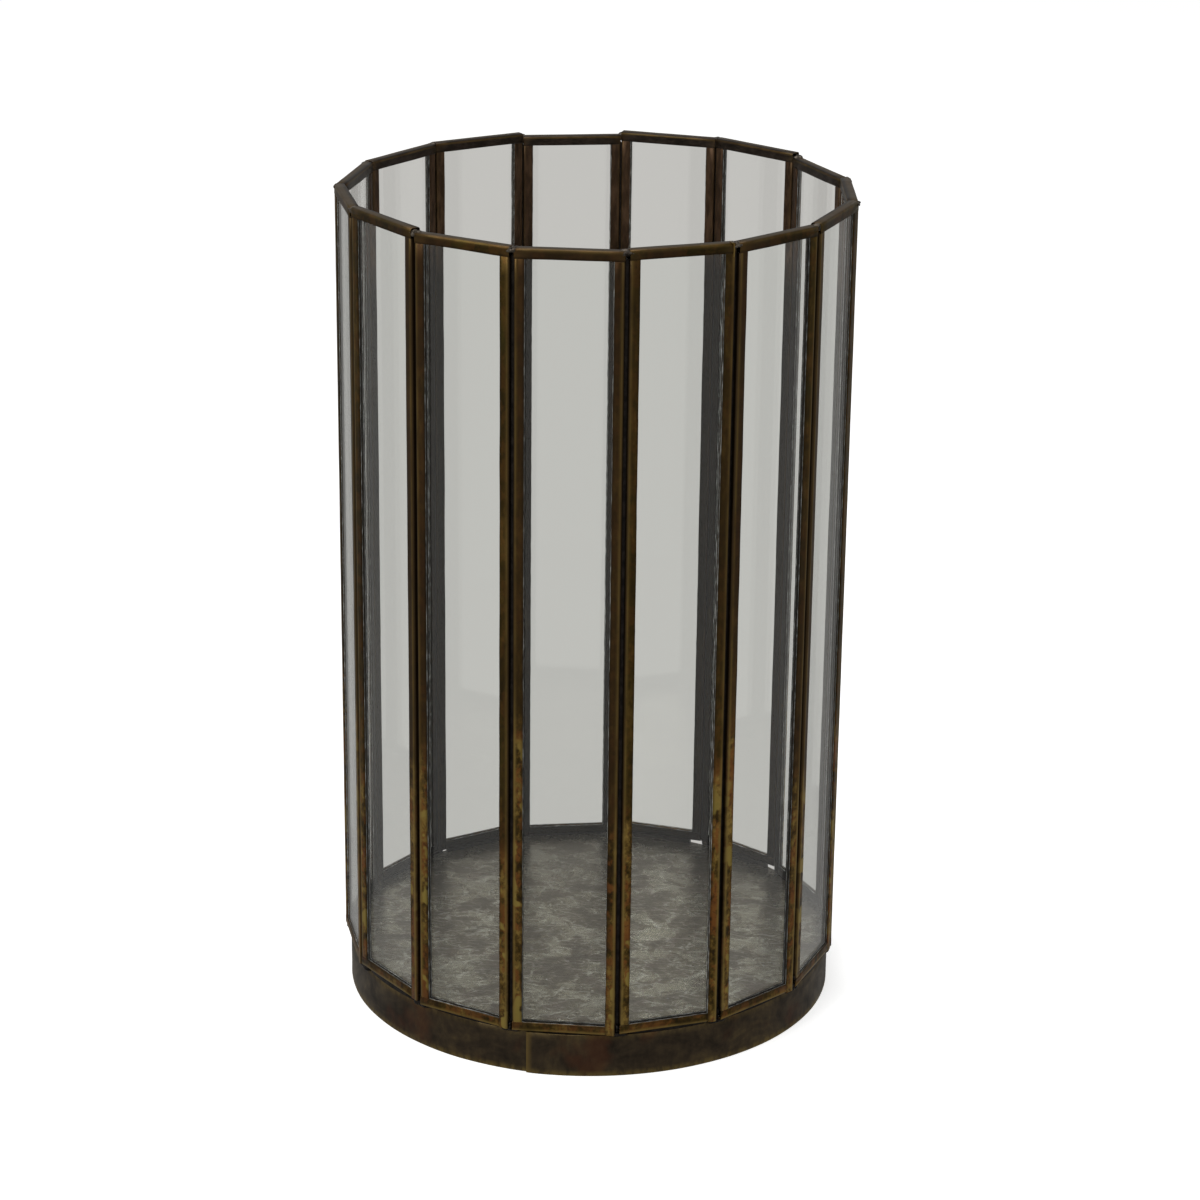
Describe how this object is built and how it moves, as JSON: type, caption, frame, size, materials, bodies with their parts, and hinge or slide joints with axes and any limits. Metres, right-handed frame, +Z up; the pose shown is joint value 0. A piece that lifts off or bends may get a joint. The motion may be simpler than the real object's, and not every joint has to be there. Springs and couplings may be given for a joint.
{
  "type": "faceted glass hurricane lantern",
  "caption": "Open-topped glass lantern: a ring of tall clear panes framed in patinated brass channel, standing on a round brass band with a galvanised floor plate.",
  "frame": {"origin": "centre of the round base, on the surface that it stands on", "axes": "+Z up, along the lantern's axis; -Y faces the panel numbered 01, and the other panels follow anticlockwise seen from above"},
  "size_m": [0.1988, 0.1979, 0.3277],
  "materials": {
    "pane_glass": "clear float glass, faint dust",
    "channel_brass": "dark brown patina with golden worn edges",
    "band_brass": "dark mottled patina, worn golden lower edge",
    "plate_zinc": "spangled galvanised sheet",
    "solder_tin": "blackened soft solder"
  },
  "bodies": {
    "root": {"base_band": "band_brass", "floor_plate": "plate_zinc", "pane_01": "pane_glass", "pane_02": "pane_glass", "pane_03": "pane_glass", "pane_04": "pane_glass", "pane_05": "pane_glass", "pane_06": "pane_glass", "pane_07": "pane_glass", "pane_08": "pane_glass", "pane_09": "pane_glass", "pane_10": "pane_glass", "pane_11": "pane_glass", "pane_12": "pane_glass", "pane_13": "pane_glass", "pane_14": "pane_glass", "pane_15": "pane_glass", "rails_01": "channel_brass", "rails_02": "channel_brass", "rails_03": "channel_brass", "rails_04": "channel_brass", "rails_05": "channel_brass", "rails_06": "channel_brass", "rails_07": "channel_brass", "rails_08": "channel_brass", "rails_09": "channel_brass", "rails_10": "channel_brass", "rails_11": "channel_brass", "rails_12": "channel_brass", "rails_13": "channel_brass", "rails_14": "channel_brass", "rails_15": "channel_brass", "stiles_01": "channel_brass", "stiles_02": "channel_brass", "stiles_03": "channel_brass", "stiles_04": "channel_brass", "stiles_05": "channel_brass", "stiles_06": "channel_brass", "stiles_07": "channel_brass", "stiles_08": "channel_brass", "stiles_09": "channel_brass", "stiles_10": "channel_brass", "stiles_11": "channel_brass", "stiles_12": "channel_brass", "stiles_13": "channel_brass", "stiles_14": "channel_brass", "stiles_15": "channel_brass", "solder_seams": "solder_tin", "solder_rim": "solder_tin", "solder_foot": "solder_tin", "solder_plate": "solder_tin"}
  },
  "joints": []
}
